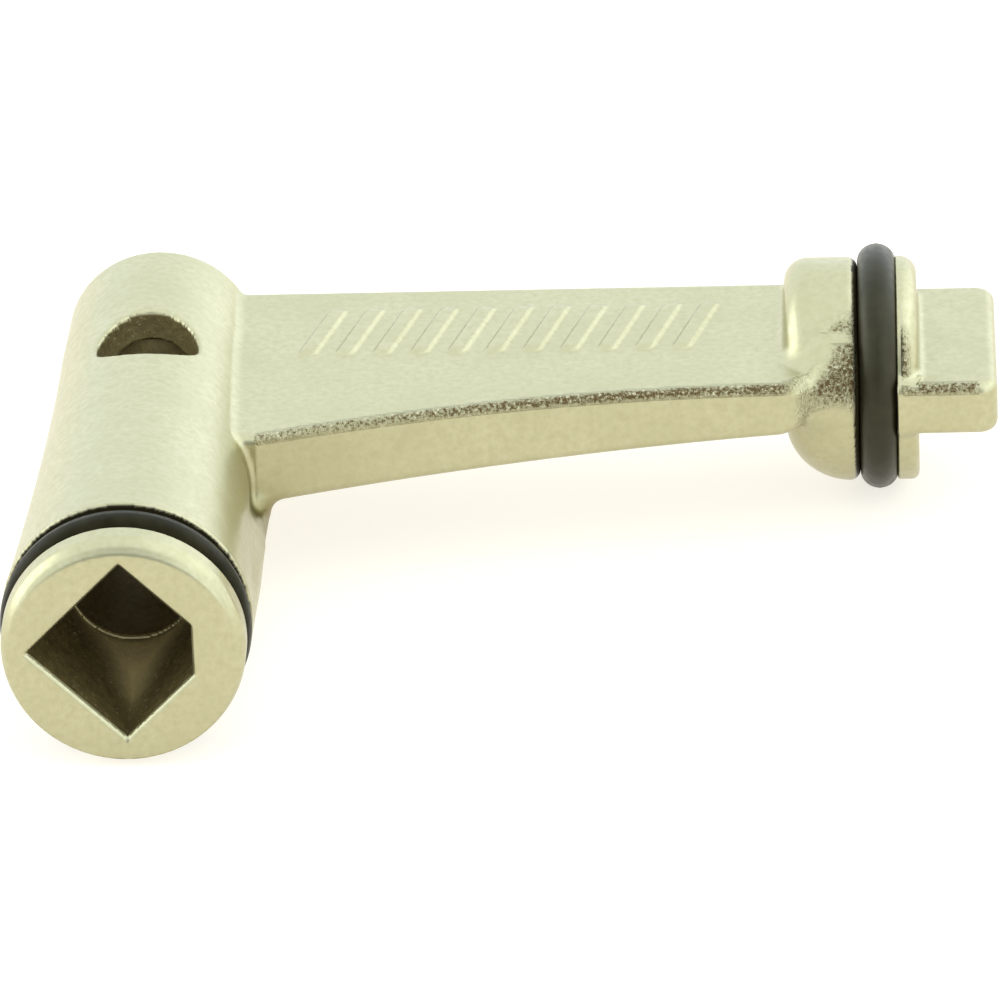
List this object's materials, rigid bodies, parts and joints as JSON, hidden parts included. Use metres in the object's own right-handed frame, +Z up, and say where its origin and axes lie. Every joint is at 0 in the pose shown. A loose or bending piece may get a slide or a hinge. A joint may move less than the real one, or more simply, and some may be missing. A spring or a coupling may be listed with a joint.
{
  "type": "radiator bleed key",
  "caption": "Cast metal crank key with a keyed square socket in its barrel, a flat blade at the arm's end, and rubber seals round both ends.",
  "frame": {"origin": "on the surface that the key lies on, under the middle of its bounding box", "axes": "+X along the arm from the barrel to the blade, +Y along the barrel away from the socket's mouth, +Z up"},
  "size_m": [0.04, 0.03, 0.0102],
  "materials": {
    "plated_casting": "pale warm nickel plate over a fine cast surface, satin",
    "black_rubber": "smooth moulded rubber, slightly oiled"
  },
  "bodies": {
    "root": {"key_body": "plated_casting", "socket_o_ring": "black_rubber", "tang_o_ring": "black_rubber"}
  },
  "joints": []
}
